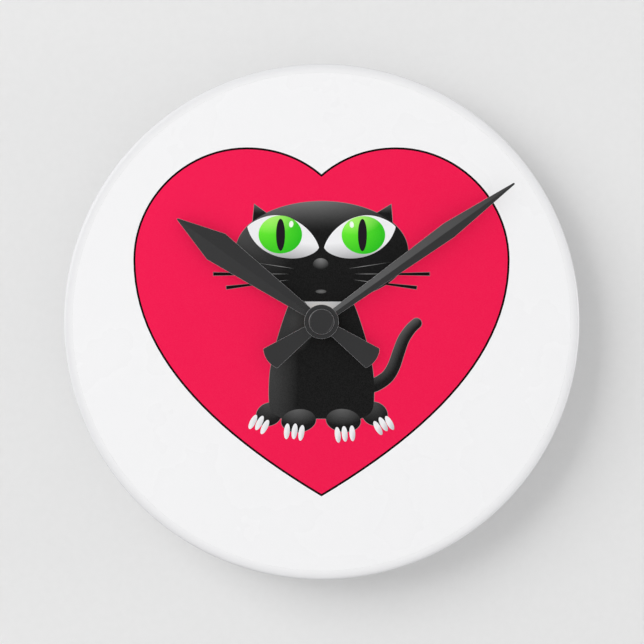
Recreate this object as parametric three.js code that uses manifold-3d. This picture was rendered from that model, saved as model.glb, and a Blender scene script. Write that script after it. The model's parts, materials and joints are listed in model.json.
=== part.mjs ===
// A round wall clock: a printed acrylic dial on a battery quartz movement, with an hour and a minute hand.
// Millimetres. +X is to the viewer's right, +Z is up and +Y points into the wall. The origin is on the
// hands' axis, in the plane of the wall.
// Pieces are drawn in a dial frame, x to the right, y up and z out from the wall towards the viewer.
// One group, turned by a quarter turn about X, stands them up.
import * as THREE from "three";
import { mergeVertices } from "three/addons/utils/BufferGeometryUtils.js";
import Module from "manifold-3d";

const wasm = await Module();
wasm.setup();

// ---- Driving dimensions -------------------------------------------------------------------------

const GAP = 0.2; // between pieces that rest on each other
const PLAY = 0.15; // between a turning pipe or arbor and its bore
const span = (back, thickness) => ({ back, front: back + thickness });
const degrees = THREE.MathUtils.degToRad;

// Depths, counted from the wall.
const COVER = span(0, 1.5);
const CASE = span(COVER.front + GAP, 14.3);
const RUBBER = span(CASE.front + GAP, 1);
const DISC = span(RUBBER.front + GAP, 4);
const FILM = span(DISC.front + 0.1, 0.25);
const WASHER = span(FILM.front + GAP, 0.5);
const NUT = span(WASHER.front + GAP, 2);
const BUSHING_END = NUT.front + 0.7;
const HOUR_HUB = span(BUSHING_END + 0.4, 1.6);
const MINUTE_HUB = span(HOUR_HUB.front + 0.5, 1.7);
const CAP = span(MINUTE_HUB.front + GAP, 1.1);

const DIAL_RADIUS = 101.6; // an 8 inch dial
const DIAL_SEGMENTS = 72;
const DIAL_EDGE = { width: 3.6, depth: 2.6, chamfer: 0.4 }; // the rounded front edge and the back chamfer
const DIAL_BORE = 4.4;
const BUSHING = { radius: 4, bore: 2.75, flange: 5.6, flangeThickness: 1.4 };
const WASHER_RADIUS = 6.4;
const RUBBER_RADIUS = 9;
const NUT_ACROSS_FLATS = 11;

// The square case of the movement, centred on the hands' axis, with the battery bay along its bottom.
const CASE_SIZE = 56;
const CASE_CORNER = 3;
const CASE_WALL = 1.2;
const CASE_FRONT_WALL = 1.4;
const BAY_FRONT_WALL = 0.9;
const BAY_TOP = -11.7;
const BAY_PARTITION = 0.9;
const INSIDE = CASE_SIZE / 2 - CASE_WALL;
const BRIDGE = span(8, 0.8);
const BATTERY = { radius: 7.25, length: 50.5, nub: 1.3, nubRadius: 2.7, sleeve: 0.15 };
const BATTERY_AXIS = { y: -19.25, z: 7.6 };

// Hands: distances along the blade from the axis, and half widths across it.
const HOUR_HAND = {
  angle: degrees(-54.35), // clockwise from twelve
  tip: 69.6,
  shoulder: 51,
  shoulderHalf: 6.05,
  rootHalf: 1.6,
  hub: 6.1,
  bore: 2.75,
};
const MINUTE_HAND = {
  angle: degrees(54.35),
  tip: 93.9,
  shoulder: 61.4,
  shoulderHalf: 3.4,
  rootHalf: 1.5,
  hub: 6.7,
  bore: 1.75,
};
const TAIL = { reach: 25.6, rootHalf: 1.9, endHalf: degrees(11), thickness: 0.9 };
const BLADE = { edge: 0.7, ridge: 1.35, tipHalf: 0.25 }; // height at the edges and along the ridge
const CAP_RADIUS = 5;

// Gears. Each mesh has one module, so a pair's distance is half its teeth times that module.
const WHEEL_TEETH = { addendum: 1, dedendum: 1.2, root: 0.62, pitch: 0.39, tip: 0.2 };
const PINION_LEAVES = { addendum: 0.9, dedendum: 1.3, root: 0.34, pitch: 0.34, tip: 0.18 };
const MODULE = { rotor: 0.25, seconds: 0.32, third: 0.3, motion: 0.4 };
const pairDistance = (module, a, b) => (module * (a + b)) / 2;
const TEETH = {
  rotorPinion: 10,
  intermediateWheel: 60,
  intermediatePinion: 12,
  secondsWheel: 60,
  secondsPinion: 8,
  thirdWheel: 64,
  thirdPinion: 8,
  centreWheel: 60,
  minutePinion: 12,
  motionWheel: 36,
  motionPinion: 10,
  hourWheel: 40,
  knobPinion: 12,
};
const THIRD_DISTANCE = pairDistance(MODULE.third, TEETH.secondsPinion, TEETH.thirdWheel);
const CENTRE_MODULE = (2 * THIRD_DISTANCE) / (TEETH.thirdPinion + TEETH.centreWheel);
const MOTION_DISTANCE = pairDistance(MODULE.motion, TEETH.minutePinion, TEETH.motionWheel);
const HOUR_MODULE = (2 * MOTION_DISTANCE) / (TEETH.motionPinion + TEETH.hourWheel);

// Arbor axes in the dial plane, each reached from the one it meshes with.
const from = (start, distance, angle) => ({
  x: start.x + distance * Math.cos(degrees(angle)),
  y: start.y + distance * Math.sin(degrees(angle)),
});
const CENTRE = { x: 0, y: 0 };
const THIRD = from(CENTRE, THIRD_DISTANCE, 0);
const INTERMEDIATE = from(
  CENTRE,
  pairDistance(MODULE.seconds, TEETH.intermediatePinion, TEETH.secondsWheel),
  150,
);
const ROTOR = from(
  INTERMEDIATE,
  pairDistance(MODULE.rotor, TEETH.rotorPinion, TEETH.intermediateWheel),
  90,
);
const MOTION = from(CENTRE, MOTION_DISTANCE, 90);
const KNOB = from(MOTION, pairDistance(MODULE.motion, TEETH.motionWheel, TEETH.knobPinion), 50);

const ARBOR = { radius: 0.5, back: COVER.front - 0.5, front: BRIDGE.front - 0.2 };
const SECONDS_ARBOR_END = 24;
const MINUTE_PIPE = { radius: 1.6, bore: 0.72, back: 5 };
const HOUR_PIPE_RADIUS = BUSHING.bore - PLAY;
const KNOB_DISC = { radius: 5.4, span: span(0.5, 2.4), ridges: 24 };
const KNOB_POCKET = { radius: 6.2, wall: 0.8, floor: span(3.2, 1) };
const KNOB_SHAFT = 1.2;
const HANGER = { span: span(2.5, 2), half: 9, foot: CASE_SIZE / 2 + 0.5, eyeY: 35, eye: 4.2, top: 42.5 };
const HANGER_SOCKET = { half: 12, height: 4, span: span(1.2, 4.8) };

// Electrical parts.
const COIL = { x: -22, z: 5.9, bottom: -6.6, top: 14, radius: 3.6, flange: 3.9, flangeThickness: 0.8 };
const CORE = { halfWidth: 1.2, span: span(5.5, 0.8) };
const MAGNET = { radius: 2.8, span: span(5.1, 2) };
const STATOR_RING = { radius: 5, bore: 3.3 };
const BOARD = { left: 14, right: 25.6, bottom: 10.6, top: 25.8, span: span(6.6, 1) };
const CONTACT = { thickness: 0.3, wide: 3 };

// ---- Solids -------------------------------------------------------------------------------------

function solid(geometry) {
  const bare = geometry.clone();
  for (const name of ["normal", "uv"]) bare.deleteAttribute(name);
  const merged = mergeVertices(bare, 1e-4);
  return new wasm.Manifold(
    new wasm.Mesh({
      numProp: 3,
      vertProperties: merged.attributes.position.array,
      triVerts: new Uint32Array(merged.index.array),
    }),
  );
}

function geometryOf(manifold) {
  const mesh = manifold.getMesh();
  const geometry = new THREE.BufferGeometry();
  geometry.setAttribute("position", new THREE.BufferAttribute(mesh.vertProperties, 3));
  geometry.setIndex(new THREE.BufferAttribute(mesh.triVerts, 1));
  geometry.computeVertexNormals();
  return geometry;
}

const joined = (...solids) => solids.reduce((all, next) => all.add(next));
const widened = ({ back, front }, by = 1) => ({ back: back - by, front: front + by });

function cylinder(radius, { back, front }, at = CENTRE, segments = 28) {
  const geometry = new THREE.CylinderGeometry(radius, radius, front - back, segments);
  return solid(geometry.rotateX(Math.PI / 2).translate(at.x, at.y, (back + front) / 2));
}

function ring(outer, inner, depth, at = CENTRE, segments = 28) {
  return cylinder(outer, depth, at, segments).subtract(cylinder(inner, widened(depth), at, segments));
}

function block(left, right, bottom, top, { back, front }) {
  const geometry = new THREE.BoxGeometry(right - left, top - bottom, front - back);
  return solid(geometry.translate((left + right) / 2, (bottom + top) / 2, (back + front) / 2));
}

function extruded(shape, { back, front }, curveSegments = 6) {
  const options = { depth: front - back, bevelEnabled: false, curveSegments };
  return solid(new THREE.ExtrudeGeometry(shape, options).translate(0, 0, back));
}

// A solid turned about the z axis from [radius, z] points that close on themselves.
function turned(profile, segments) {
  const points = [...profile, profile[0]].map(([radius, z]) => new THREE.Vector2(radius, z));
  return solid(new THREE.LatheGeometry(points, segments).rotateX(Math.PI / 2));
}

function squareShape(left, right, bottom, top, corner) {
  const shape = new THREE.Shape();
  shape.moveTo(left + corner, bottom);
  shape.lineTo(right - corner, bottom);
  shape.absarc(right - corner, bottom + corner, corner, -Math.PI / 2, 0);
  shape.absarc(right - corner, top - corner, corner, 0, Math.PI / 2);
  shape.absarc(left + corner, top - corner, corner, Math.PI / 2, Math.PI);
  shape.absarc(left + corner, bottom + corner, corner, Math.PI, 1.5 * Math.PI);
  return shape;
}

// A solid through rings of points that match one to one, closed by a fan at each end.
function lofted(rings) {
  const size = rings[0].length;
  const positions = rings.flat().flatMap(({ x, y, z }) => [x, y, z]);
  const faces = [];
  for (let r = 0; r < rings.length - 1; r++) {
    for (let i = 0; i < size; i++) {
      const a = r * size + i;
      const b = r * size + ((i + 1) % size);
      faces.push(a, b, b + size, a, b + size, a + size);
    }
  }
  const last = (rings.length - 1) * size;
  for (let i = 1; i < size - 1; i++) faces.push(0, i + 1, i, last, last + i, last + i + 1);
  const geometry = new THREE.BufferGeometry();
  geometry.setAttribute("position", new THREE.Float32BufferAttribute(positions, 3));
  geometry.setIndex(faces);
  return solid(geometry);
}

// ---- Gears --------------------------------------------------------------------------------------

const pitchAngle = (teeth) => (2 * Math.PI) / teeth;

// A straight-flanked gear. phase is the direction of one tooth's middle.
function toothedShape(teeth, module, form, phase) {
  const radius = (module * teeth) / 2;
  const flank = [
    [radius - form.dedendum * module, form.root],
    [radius, form.pitch],
    [radius + form.addendum * module, form.tip],
  ];
  const steps = form === WHEEL_TEETH ? [flank[0], flank[2]] : flank;
  const points = [];
  for (let tooth = 0; tooth < teeth; tooth++) {
    const middle = phase + tooth * pitchAngle(teeth);
    const corners = [
      ...steps.map(([r, share]) => [r, -share / 2]),
      ...[...steps].reverse().map(([r, share]) => [r, share / 2]),
    ];
    for (const [r, share] of corners) {
      const angle = middle + share * pitchAngle(teeth);
      points.push(new THREE.Vector2(r * Math.cos(angle), r * Math.sin(angle)));
    }
  }
  return new THREE.Shape(points);
}

function gear(at, teeth, module, form, phase, depth) {
  return extruded(toothedShape(teeth, module, form, phase), depth).translate([at.x, at.y, 0]);
}

const direction = (a, b) => Math.atan2(b.y - a.y, b.x - a.x);

// The phase of the gear at b that puts it in mesh with the one at a: where one has a tooth, the other a gap.
function meshingPhase(a, teethA, phaseA, b, teethB) {
  const towards = direction(a, b);
  const toothShare = (towards - phaseA) / pitchAngle(teethA);
  return towards + Math.PI - pitchAngle(teethB) * (0.5 - toothShare);
}

const PHASE = {};
PHASE.secondsPinion = direction(CENTRE, THIRD);
PHASE.thirdWheel = meshingPhase(CENTRE, TEETH.secondsPinion, PHASE.secondsPinion, THIRD, TEETH.thirdWheel);
PHASE.thirdPinion = direction(THIRD, CENTRE);
PHASE.centreWheel = meshingPhase(THIRD, TEETH.thirdPinion, PHASE.thirdPinion, CENTRE, TEETH.centreWheel);
PHASE.intermediatePinion = direction(INTERMEDIATE, CENTRE);
PHASE.secondsWheel = meshingPhase(
  INTERMEDIATE,
  TEETH.intermediatePinion,
  PHASE.intermediatePinion,
  CENTRE,
  TEETH.secondsWheel,
);
PHASE.rotorPinion = direction(ROTOR, INTERMEDIATE);
PHASE.intermediateWheel = meshingPhase(
  ROTOR,
  TEETH.rotorPinion,
  PHASE.rotorPinion,
  INTERMEDIATE,
  TEETH.intermediateWheel,
);
PHASE.minutePinion = direction(CENTRE, MOTION);
PHASE.motionWheel = meshingPhase(CENTRE, TEETH.minutePinion, PHASE.minutePinion, MOTION, TEETH.motionWheel);
PHASE.motionPinion = direction(MOTION, CENTRE);
PHASE.hourWheel = meshingPhase(MOTION, TEETH.motionPinion, PHASE.motionPinion, CENTRE, TEETH.hourWheel);
PHASE.knobPinion = meshingPhase(MOTION, TEETH.motionWheel, PHASE.motionWheel, KNOB, TEETH.knobPinion);

// Depths of the gears. The going train is behind the bridge and the motion work is in front of it.
const LEVEL = {
  secondsWheel: span(2.3, 0.6),
  intermediatePinion: span(2, 1.2),
  thirdWheel: span(3.9, 0.6),
  secondsPinion: span(3.6, 1.2),
  intermediateWheel: span(3.9, 0.6),
  rotorPinion: span(3.7, 1.1),
  centreWheel: span(5.6, 0.7),
  thirdPinion: span(5.3, 1.4),
  minutePinion: span(9.3, 1.4),
  motionWheel: span(9.6, 0.8),
  motionPinion: span(10.4, 2.2),
  hourWheel: span(11.2, 0.8),
  knobPinion: span(9.3, 1.4),
};

const wheel = (name, at, module) =>
  gear(at, TEETH[name], module, WHEEL_TEETH, PHASE[name], LEVEL[name]);
const pinion = (name, at, module) =>
  gear(at, TEETH[name], module, PINION_LEAVES, PHASE[name], LEVEL[name]);
const arbor = (at, { back, front } = ARBOR, radius = ARBOR.radius) =>
  cylinder(radius, { back, front }, at, 8);

// ---- Dial and hands -----------------------------------------------------------------------------

function acrylicDial() {
  const { width, depth, chamfer } = DIAL_EDGE;
  const steps = 4;
  const edge = [];
  for (let i = 0; i <= steps; i++) {
    const turn = (i / steps) * (Math.PI / 2);
    edge.push([
      DIAL_RADIUS - width * (1 - Math.cos(turn)),
      DISC.front - depth * (1 - Math.sin(turn)),
    ]);
  }
  return turned(
    [
      [DIAL_BORE, DISC.back],
      [DIAL_RADIUS - chamfer, DISC.back],
      [DIAL_RADIUS, DISC.back + chamfer],
      ...edge,
      [DIAL_BORE, DISC.front],
    ],
    DIAL_SEGMENTS,
  );
}

function printedFace() {
  return ring(DIAL_RADIUS - DIAL_EDGE.width, DIAL_BORE, FILM, CENTRE, DIAL_SEGMENTS);
}

function hexNut() {
  const radius = NUT_ACROSS_FLATS / Math.sqrt(3);
  return cylinder(radius, NUT, CENTRE, 6).subtract(cylinder(BUSHING.radius + 0.1, widened(NUT)));
}

// A blade that widens to its shoulder and runs out to a point, with a ridge along its middle.
function blade(hand, back) {
  const stations = [
    { along: hand.hub * 0.5, half: hand.rootHalf, ridge: BLADE.ridge },
    { along: hand.shoulder, half: hand.shoulderHalf, ridge: BLADE.ridge },
    { along: hand.tip, half: BLADE.tipHalf, ridge: BLADE.edge },
  ];
  const rings = stations.map(({ along, half, ridge }) => [
    { x: -half, y: along, z: back },
    { x: -half, y: along, z: back + BLADE.edge },
    { x: 0, y: along, z: back + ridge + 0.01 },
    { x: half, y: along, z: back + BLADE.edge },
    { x: half, y: along, z: back },
  ]);
  return lofted(rings);
}

// The fan-shaped counterweight on the far side of the hub.
function tail(hand, back) {
  const middle = -Math.PI / 2;
  const shape = new THREE.Shape();
  shape.moveTo(-TAIL.rootHalf, -hand.hub * 0.5);
  shape.absarc(0, 0, TAIL.reach, middle - TAIL.endHalf, middle + TAIL.endHalf);
  shape.lineTo(TAIL.rootHalf, -hand.hub * 0.5);
  return extruded(shape, span(back, TAIL.thickness));
}

function clockHand(hand, hub) {
  const back = hub.back + GAP;
  const plate = joined(cylinder(hand.hub, hub), blade(hand, back), tail(hand, back));
  const bored = plate.subtract(cylinder(hand.bore, widened(hub), CENTRE, 24));
  return bored.rotate([0, 0, -THREE.MathUtils.radToDeg(hand.angle)]);
}

function minuteCap() {
  const rim = 0.3;
  return turned(
    [
      [0, CAP.back],
      [CAP_RADIUS, CAP.back],
      [CAP_RADIUS, CAP.front - rim],
      [CAP_RADIUS - rim, CAP.front],
      [0, CAP.front],
    ],
    28,
  );
}

// ---- Fixing and case ----------------------------------------------------------------------------

function threadedBushing() {
  const flange = span(CASE.front - CASE_FRONT_WALL - GAP - BUSHING.flangeThickness, BUSHING.flangeThickness);
  const barrel = { back: flange.back, front: BUSHING_END };
  return joined(cylinder(BUSHING.flange, flange), cylinder(BUSHING.radius, barrel)).subtract(
    cylinder(BUSHING.bore, widened(barrel)),
  );
}

const POSTS = [
  { x: -14.5, y: -8.2 },
  { x: 19, y: -8.2 },
  { x: -15.5, y: 22.5 },
];
const BOARD_POST = { x: 20.5, y: 22 };
const POST_RADIUS = 1.8;
const CLIPS = [-2, 18].flatMap((y) => [
  { side: -1, y },
  { side: 1, y },
]);
const CLIP = { half: 3, depth: 5.2, thickness: 0.7, barb: span(4, 1) };

function movementCase() {
  const half = CASE_SIZE / 2;
  const frontFace = CASE.front - CASE_FRONT_WALL;
  const shell = extruded(squareShape(-half, half, -half, half, CASE_CORNER), CASE, 4);
  const gearRoom = block(-INSIDE, INSIDE, BAY_TOP + BAY_PARTITION, INSIDE, { back: 0, front: frontFace });
  const bay = block(-INSIDE, INSIDE, -INSIDE, BAY_TOP, { back: 0, front: CASE.front - BAY_FRONT_WALL });
  const socket = block(-HANGER_SOCKET.half, HANGER_SOCKET.half, half - 1, half + HANGER_SOCKET.height, {
    back: CASE.back,
    front: HANGER_SOCKET.span.front,
  });
  const slotHalf = HANGER.half + GAP;
  const slot = block(-slotHalf, slotHalf, half + 0.3, half + 9, widened(HANGER.span, GAP));
  const thumbNotch = cylinder(6, { back: 0, front: 6 }, { x: 0, y: -half });
  const stripNotch = block(INSIDE - 1, INSIDE, BAY_TOP - 1, BAY_TOP + 2, { back: 6.2, front: 9.8 });
  const otherNotch = block(-INSIDE, 1 - INSIDE, BAY_TOP - 1, BAY_TOP + 2, { back: 9.2, front: 12.3 });
  const centreHole = cylinder(BUSHING.radius + GAP, { back: 0, front: CASE.front + 1 });
  const windows = CLIPS.map(({ side, y }) => {
    const edges = [side * (INSIDE - 1), side * (half + 1)].sort((a, b) => a - b);
    return block(...edges, y - CLIP.half - GAP, y + CLIP.half + GAP, widened(CLIP.barb, GAP));
  });
  const post = (at, back) => cylinder(POST_RADIUS, { back, front: frontFace + 0.5 }, at, 12);
  const pivots = [MOTION, KNOB].map((at) => cylinder(1.8, { back: 13.4, front: frontFace + 0.5 }, at, 16));
  const pivotHoles = [MOTION, KNOB].map((at) => cylinder(0.8, { back: 13, front: 15.3 }, at, 16));
  const hollow = joined(gearRoom, bay, slot, thumbNotch, stripNotch, otherNotch, centreHole, ...windows);
  return joined(
    shell.add(socket).subtract(hollow),
    ...POSTS.map((at) => post(at, BRIDGE.front + GAP)),
    post(BOARD_POST, BOARD.span.front + GAP),
    ...pivots,
  ).subtract(joined(...pivotHoles));
}

function movementCover() {
  const half = CASE_SIZE / 2;
  const plate = extruded(squareShape(-half, half, BAY_TOP, half, 1.5), COVER, 4);
  const lipOuter = INSIDE - 0.3;
  const lipInner = lipOuter - 0.8;
  const lipDepth = { back: COVER.front - 0.5, front: 3 };
  const lipBottom = BAY_TOP + BAY_PARTITION + 0.3;
  const lip = block(-lipOuter, lipOuter, lipBottom, lipOuter, lipDepth).subtract(
    block(-lipInner, lipInner, lipBottom - 1, lipInner, widened(lipDepth)),
  );
  const clips = CLIPS.map(({ side, y }) => {
    const outer = side * (INSIDE - 0.1);
    const inner = side * (INSIDE - 0.1 - CLIP.thickness);
    const hooked = side * (INSIDE + 0.5);
    const order = (...edges) => edges.sort((a, b) => a - b);
    const arm = { back: COVER.front - 0.5, front: CLIP.depth };
    return joined(
      block(...order(inner, outer), y - CLIP.half, y + CLIP.half, arm),
      block(...order(inner, hooked), y - CLIP.half, y + CLIP.half, CLIP.barb),
    );
  });
  const cup = cylinder(KNOB_POCKET.radius + KNOB_POCKET.wall, { back: 1, front: KNOB_POCKET.floor.front }, KNOB);
  const pocket = cylinder(KNOB_POCKET.radius, { back: -1, front: KNOB_POCKET.floor.back }, KNOB);
  const knobHole = cylinder(KNOB_SHAFT + PLAY, { back: -1, front: 6 }, KNOB, 24);
  const pivotAxes = [CENTRE, THIRD, INTERMEDIATE, ROTOR];
  const bosses = pivotAxes.map((at) => cylinder(1.4, { back: 1, front: 1.9 }, at, 10));
  const pivotHoles = pivotAxes.map((at) => arbor(at, { back: 0.8, front: 3 }, ARBOR.radius + PLAY));
  return joined(plate, lip, cup, ...clips, ...bosses).subtract(joined(pocket, knobHole, ...pivotHoles));
}

function hanger() {
  const { half, foot, eyeY, eye, top } = HANGER;
  const shape = new THREE.Shape();
  shape.moveTo(-half, foot);
  shape.lineTo(half, foot);
  shape.lineTo(half, eyeY - 1);
  shape.absarc(0, eyeY - 1, half, 0, Math.PI);
  const outline = extruded(shape, HANGER.span, 12);
  const notch = cylinder(1.3, widened(HANGER.span), { x: 0, y: eyeY + eye }, 16);
  const cut = cylinder(eye, widened(HANGER.span), { x: 0, y: eyeY }, 32).add(notch);
  return outline.subtract(cut).intersect(block(-half, half, foot, top, widened(HANGER.span)));
}

function trainBridge() {
  const plate = joined(
    block(-17.5, 13, -10.2, 25.5, BRIDGE),
    block(12, 23.5, -10.2, 9.8, BRIDGE),
  );
  const arborHoles = [THIRD, INTERMEDIATE, ROTOR, MOTION].map((at) =>
    arbor(at, widened(BRIDGE), ARBOR.radius + PLAY + (at === MOTION ? 0.1 : 0)),
  );
  const centreHole = cylinder(MINUTE_PIPE.radius + PLAY, widened(BRIDGE), CENTRE, 24);
  const knobHole = cylinder(KNOB_SHAFT + PLAY, widened(BRIDGE), KNOB, 24);
  return plate.subtract(joined(centreHole, knobHole, ...arborHoles));
}

// ---- Going train --------------------------------------------------------------------------------

function rotorPinion() {
  return joined(pinion("rotorPinion", ROTOR, MODULE.rotor), arbor(ROTOR));
}

function rotorMagnet() {
  return ring(MAGNET.radius, ARBOR.radius + 0.1, MAGNET.span, ROTOR, 24);
}

function intermediateWheel() {
  return joined(
    wheel("intermediateWheel", INTERMEDIATE, MODULE.rotor),
    pinion("intermediatePinion", INTERMEDIATE, MODULE.seconds),
    cylinder(1.4, { back: 2, front: 5 }, INTERMEDIATE, 16),
    arbor(INTERMEDIATE),
  );
}

function secondsWheel() {
  return joined(
    wheel("secondsWheel", CENTRE, MODULE.seconds),
    pinion("secondsPinion", CENTRE, MODULE.third),
    cylinder(0.8, { back: 2, front: 4.8 }, CENTRE, 16),
    arbor(CENTRE, { back: ARBOR.back, front: SECONDS_ARBOR_END }),
  );
}

function thirdWheel() {
  return joined(
    wheel("thirdWheel", THIRD, MODULE.third),
    pinion("thirdPinion", THIRD, CENTRE_MODULE),
    cylinder(0.75, { back: 3, front: 7 }, THIRD, 16),
    arbor(THIRD),
  );
}

// Driven at one turn an hour, it grips the minute arbor by friction and slips when the hands are set.
function centreWheel() {
  const hub = span(5.3, 1.3);
  return joined(wheel("centreWheel", CENTRE, CENTRE_MODULE), cylinder(3, hub, CENTRE, 24)).subtract(
    cylinder(MINUTE_PIPE.radius + 0.1, widened(hub), CENTRE, 24),
  );
}

// ---- Motion work and setting --------------------------------------------------------------------

function minuteArbor() {
  const pipe = { back: MINUTE_PIPE.back, front: MINUTE_HUB.front - GAP };
  return joined(
    cylinder(MINUTE_PIPE.radius, pipe, CENTRE, 24),
    pinion("minutePinion", CENTRE, MODULE.motion),
  ).subtract(cylinder(MINUTE_PIPE.bore, widened(pipe), CENTRE, 16));
}

function motionWheel() {
  return joined(
    wheel("motionWheel", MOTION, MODULE.motion),
    pinion("motionPinion", MOTION, HOUR_MODULE),
    arbor(MOTION, { back: BRIDGE.back + 0.1, front: 15.1 }, 0.6),
  );
}

function hourWheel() {
  const pipe = { back: LEVEL.hourWheel.back, front: HOUR_HUB.front - 0.1 };
  return joined(
    wheel("hourWheel", CENTRE, HOUR_MODULE),
    cylinder(HOUR_PIPE_RADIUS, pipe, CENTRE, 24),
  ).subtract(cylinder(MINUTE_PIPE.radius + PLAY, widened(pipe), CENTRE, 24));
}

function settingKnob() {
  const grip = { addendum: 0, dedendum: 1, root: 0.7, pitch: 0.6, tip: 0.4 };
  const module = (2 * KNOB_DISC.radius) / KNOB_DISC.ridges;
  const shaft = { back: KNOB_DISC.span.back, front: 13.2 };
  return joined(
    gear(KNOB, KNOB_DISC.ridges, module, grip, 0, KNOB_DISC.span),
    cylinder(KNOB_SHAFT, shaft, KNOB, 16),
    arbor(KNOB, { back: 12, front: 15.1 }, 0.65),
    pinion("knobPinion", KNOB, MODULE.motion),
  );
}

// ---- Motor and electronics ----------------------------------------------------------------------

// One flat lamination: the coil's core, and two arms from its ends to the ring round the rotor.
function statorCore() {
  const { halfWidth, span: depth } = CORE;
  const low = COIL.bottom - 2.2;
  const high = COIL.top + 2.2;
  const arm = 3;
  const elbow = COIL.x + 4.4;
  return joined(
    block(COIL.x - halfWidth, COIL.x + halfWidth, low - arm / 2, high + arm / 2, depth),
    block(COIL.x, ROTOR.x, high - arm / 2, high + arm / 2, depth),
    block(COIL.x, elbow + arm, low - arm / 2, low + arm / 2, depth),
    block(elbow, elbow + arm, low, ROTOR.y, depth),
    cylinder(STATOR_RING.radius, depth, ROTOR, 32),
  ).subtract(cylinder(STATOR_RING.bore, widened(depth), ROTOR, 24));
}

// Solids round the coil's axis are drawn about z and laid along y.
const alongCoil = (manifold) => manifold.rotate([-90, 0, 0]).translate([COIL.x, 0, COIL.z]);

function coilBobbin() {
  const tube = { back: COIL.bottom, front: COIL.top };
  const flanges = [COIL.bottom, COIL.top - COIL.flangeThickness].map((start) =>
    cylinder(COIL.flange, span(start, COIL.flangeThickness), CENTRE, 24),
  );
  const body = joined(cylinder(2.2, tube, CENTRE, 16), ...flanges);
  const gap = CORE.halfWidth + 0.2;
  return alongCoil(body.subtract(block(-gap, gap, -0.6, 0.6, widened(tube))));
}

function coilWinding() {
  const inside = COIL.flangeThickness + 0.15;
  const depth = { back: COIL.bottom + inside, front: COIL.top - inside };
  return alongCoil(ring(COIL.radius, 2.35, depth, CENTRE, 24));
}

function circuitBoard() {
  return block(BOARD.left, BOARD.right, BOARD.bottom, BOARD.top, BOARD.span);
}

function circuitChip() {
  const radius = 2.8;
  const height = 1.1;
  const steps = 4;
  const dome = [[0, 0]];
  for (let i = 0; i <= steps; i++) {
    const turn = (i / steps) * (Math.PI / 2);
    dome.push([radius * Math.cos(turn), height * Math.sin(turn)]);
  }
  return turned(dome, 20)
    .rotate([180, 0, 0])
    .translate([17.2, 15, BOARD.span.back - 0.1]);
}

function quartzCrystal() {
  return cylinder(1, { back: 15, front: 21 }, CENTRE, 16)
    .rotate([-90, 0, 0])
    .translate([21.6, 0, BOARD.span.back - 1.15]);
}

// ---- Battery and contacts -----------------------------------------------------------------------

const alongBattery = (manifold) => manifold.rotate([0, 90, 0]).translate([0, BATTERY_AXIS.y, BATTERY_AXIS.z]);
const BATTERY_BACK = -BATTERY.length / 2 + 0.4;

function batteryCell() {
  const can = span(BATTERY_BACK, BATTERY.length - BATTERY.nub);
  const nub = span(can.front - 0.5, BATTERY.nub + 0.5);
  return alongBattery(
    joined(
      cylinder(BATTERY.radius - BATTERY.sleeve - 0.1, can),
      cylinder(BATTERY.nubRadius, nub, CENTRE, 20),
    ),
  );
}

function batterySleeve() {
  const depth = span(BATTERY_BACK + 0.3, BATTERY.length - BATTERY.nub - 0.6);
  return alongBattery(ring(BATTERY.radius, BATTERY.radius - BATTERY.sleeve, depth, CENTRE, 28));
}

function contactPositive() {
  const right = INSIDE - 0.3;
  const left = right - CONTACT.thickness;
  return joined(
    block(left, right, -24, -15, { back: 4, front: 11.5 }),
    block(left, right, -15.5, 20, span(6.5, CONTACT.wide)),
    block(23.5, right, 17, 20, span(6, CONTACT.thickness)),
    block(left, right, 17, 20, { back: 6, front: 7 }),
  );
}

// The conical spring that presses on the battery's flat end.
class ConicalSpring extends THREE.Curve {
  getPoint(t, target = new THREE.Vector3()) {
    const turns = 2.25;
    const angle = 2 * Math.PI * turns * t;
    const radius = 4 - 2.4 * t;
    return target.set(radius * Math.cos(angle), radius * Math.sin(angle), 0.6 * t);
  }
}

function contactSpring() {
  const wire = new THREE.Shape();
  wire.absarc(0, 0, 0.25, 0, 2 * Math.PI);
  const spring = new THREE.ExtrudeGeometry(wire, {
    steps: 30,
    curveSegments: 3,
    extrudePath: new ConicalSpring(),
  });
  const foot = 0.6 + CONTACT.thickness - INSIDE;
  return solid(spring).rotate([0, 90, 0]).translate([foot, BATTERY_AXIS.y, BATTERY_AXIS.z]);
}

function contactNegative() {
  const left = 0.3 - INSIDE;
  const right = left + CONTACT.thickness;
  const above = BAY_TOP + BAY_PARTITION + 0.3;
  const rail = span(9.5, 2.5);
  return joined(
    block(left, right, -24, -15, { back: 3.5, front: 12 }),
    block(left, right, -15.5, above + CONTACT.thickness, rail),
    block(left, 22.8, above, above + CONTACT.thickness, rail),
    block(22.5, 22.8, above, 15, rail),
    block(22.5, 22.8, 12, 15, { back: BOARD.span.front + GAP, front: 10 }),
  );
}

// ---- Materials and assembly ---------------------------------------------------------------------

const finish = (color, roughness, metalness = 0) =>
  new THREE.MeshStandardMaterial({ color, roughness, metalness });
const WHITE_ACRYLIC = finish(0xf3f3f4, 0.12);
const PRINT_WHITE = finish(0xf2f2f4, 0.3);
const HAND_BLACK = finish(0x39393a, 0.55);
const CASE_BLACK = finish(0x1c1c1d, 0.6);
const RUBBER_BLACK = finish(0x161616, 0.9);
const BRASS = finish(0xb99a52, 0.35, 1);
const STEEL = finish(0xb9bcc0, 0.3, 1);
const SILICON_STEEL = finish(0x8b8f94, 0.45, 1);
const NYLON = finish(0xe9e6dc, 0.5);
const MAGNET_GREY = finish(0x55565a, 0.5, 0.6);
const COPPER = finish(0xb4552d, 0.4, 0.8);
const BOARD_GREEN = finish(0x1f5a38, 0.5);
const EPOXY_BLACK = finish(0x101010, 0.35);
const SLEEVE_BLUE = finish(0x24507e, 0.35);

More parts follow.
